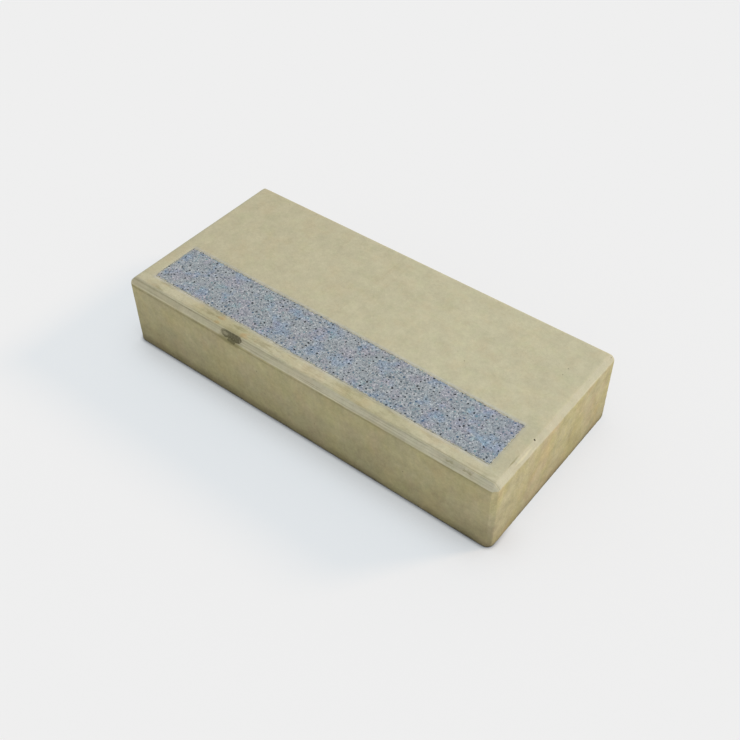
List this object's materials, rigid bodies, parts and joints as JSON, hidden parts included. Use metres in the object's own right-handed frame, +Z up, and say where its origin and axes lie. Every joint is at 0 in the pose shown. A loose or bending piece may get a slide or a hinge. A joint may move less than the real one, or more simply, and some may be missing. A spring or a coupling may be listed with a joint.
{
  "type": "concrete step block",
  "caption": "Solid concrete block step with chamfered tread and corner edges and a flush contrast strip of coloured aggregate along its front edge.",
  "frame": {"origin": "centre of the bed, the underside that rests on the ground", "axes": "+X along the length, -Y out of the riser face below the contrast strip, +Z up out of the tread"},
  "size_m": [0.8, 0.37, 0.15],
  "materials": {
    "cast_concrete": "fair-faced pale yellow-beige cast concrete, weathered, with dirty lower edges",
    "coloured_aggregate": "fine blue-grey aggregate, washed flush with the tread, slip resistant"
  },
  "bodies": {
    "root": {"step_block": "cast_concrete", "contrast_strip": "coloured_aggregate"}
  },
  "joints": []
}
